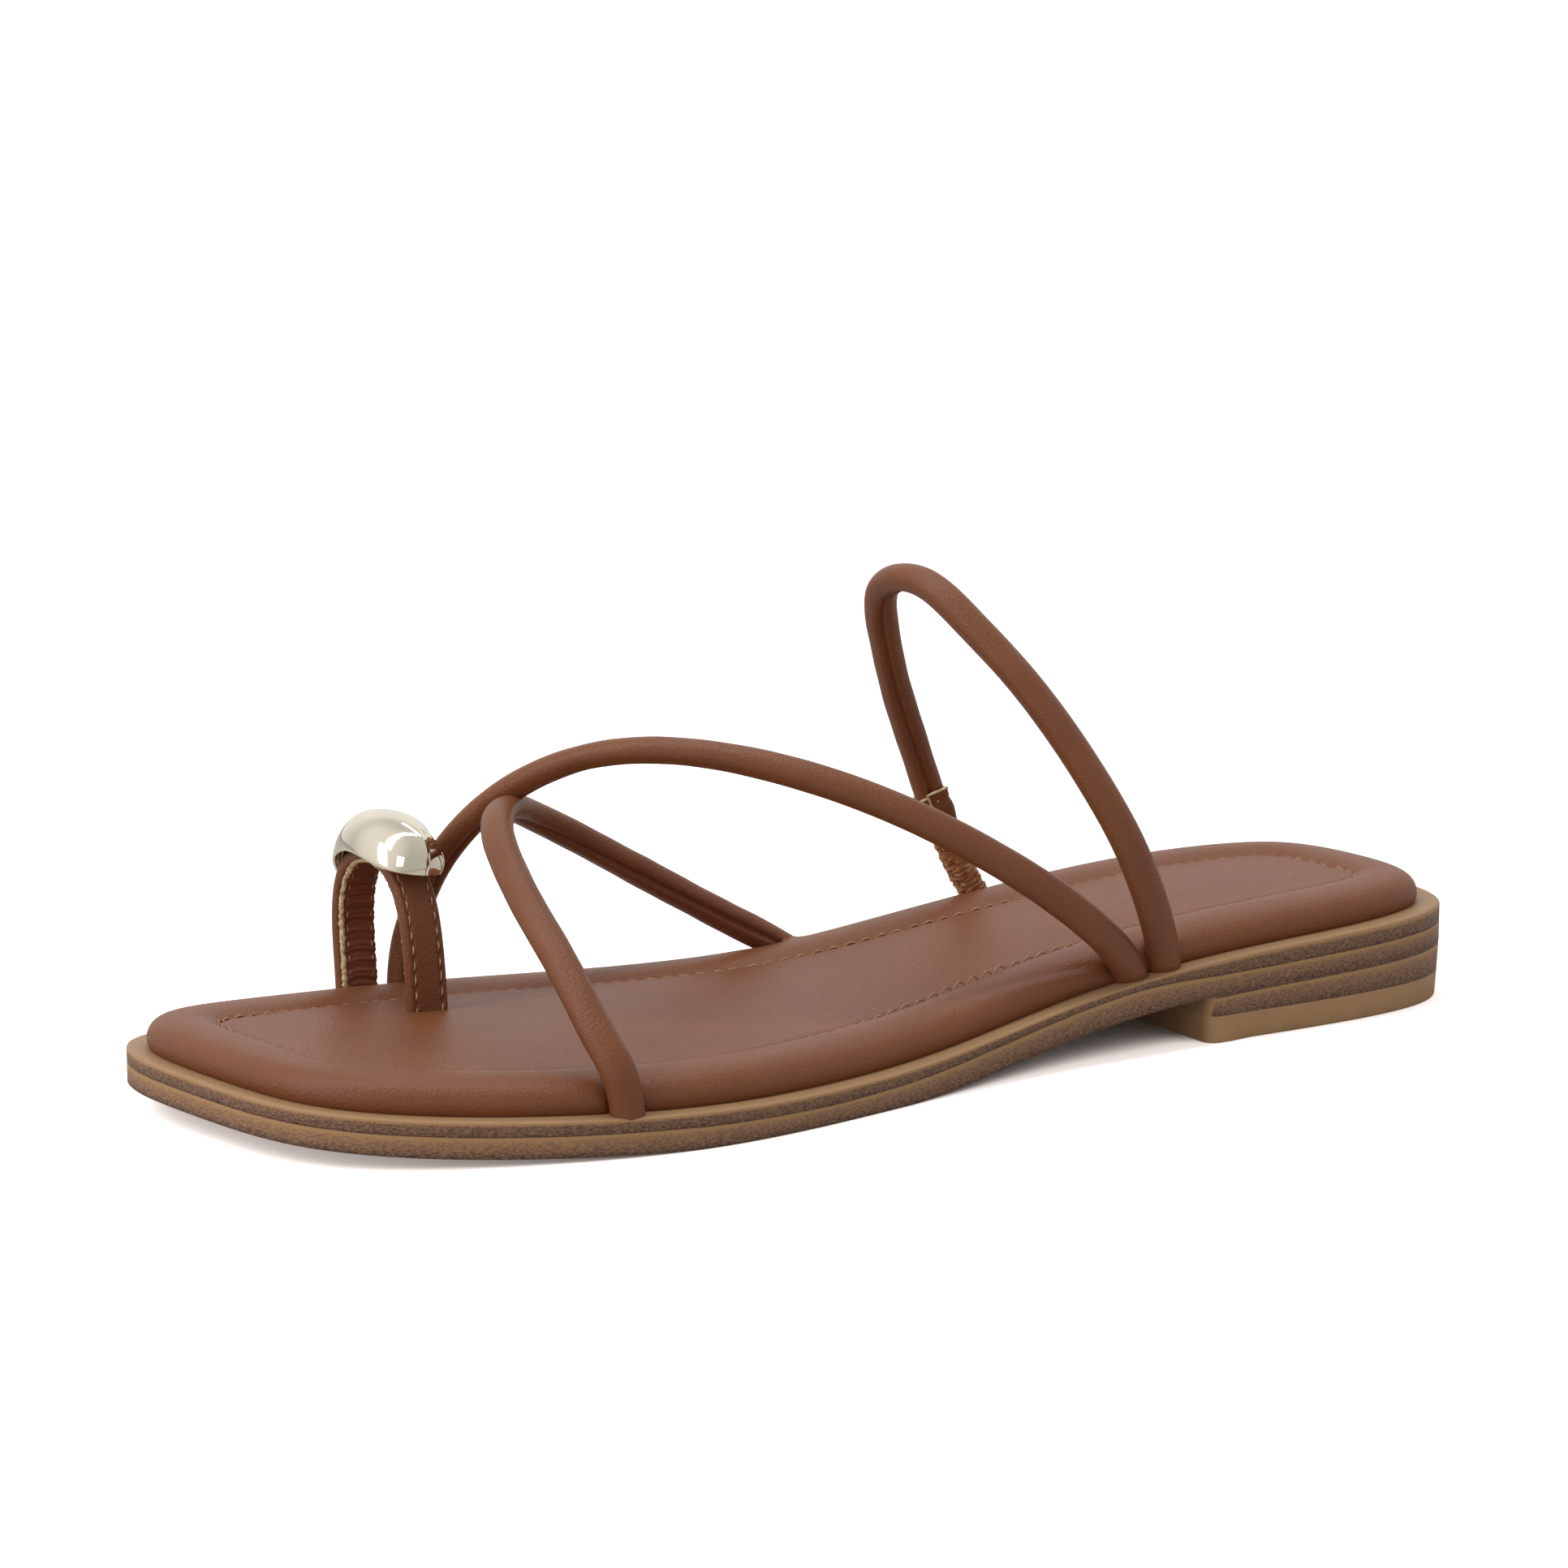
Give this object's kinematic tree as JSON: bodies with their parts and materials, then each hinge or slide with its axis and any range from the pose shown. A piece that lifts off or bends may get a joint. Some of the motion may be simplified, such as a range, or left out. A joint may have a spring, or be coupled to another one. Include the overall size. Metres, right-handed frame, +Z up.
{
  "type": "strappy sandal",
  "caption": "Flat sandal for the left foot with a layered sole, low heel, padded footbed, crossing rolled cords, ankle strap and a toe loop with a domed metal ornament",
  "frame": {"origin": "middle of the bounding box, on the floor under the sole", "axes": "+Y from toe to heel, +X to the lateral side, +Z up"},
  "size_m": [0.0948, 0.2528, 0.0866],
  "materials": {
    "sole_layers": "matt speckled brown layers with tan lines",
    "lift": "matt tan",
    "footbed_leather": "smooth padded brown leather",
    "strap_leather": "smooth brown leather, soft gloss",
    "elastic": "gathered brown elastic",
    "gilt": "polished pale champagne gold"
  },
  "bodies": {
    "root": {"outsole": "sole_layers", "heel_block": "sole_layers", "top_lift": "lift", "footbed": "footbed_leather", "instep_straps": "strap_leather", "ankle_strap": "strap_leather", "strap_cuff": "strap_leather", "elastic_gore": "elastic", "toe_loop": "strap_leather", "toe_ornament": "gilt", "ornament_tab": "strap_leather"}
  },
  "joints": []
}
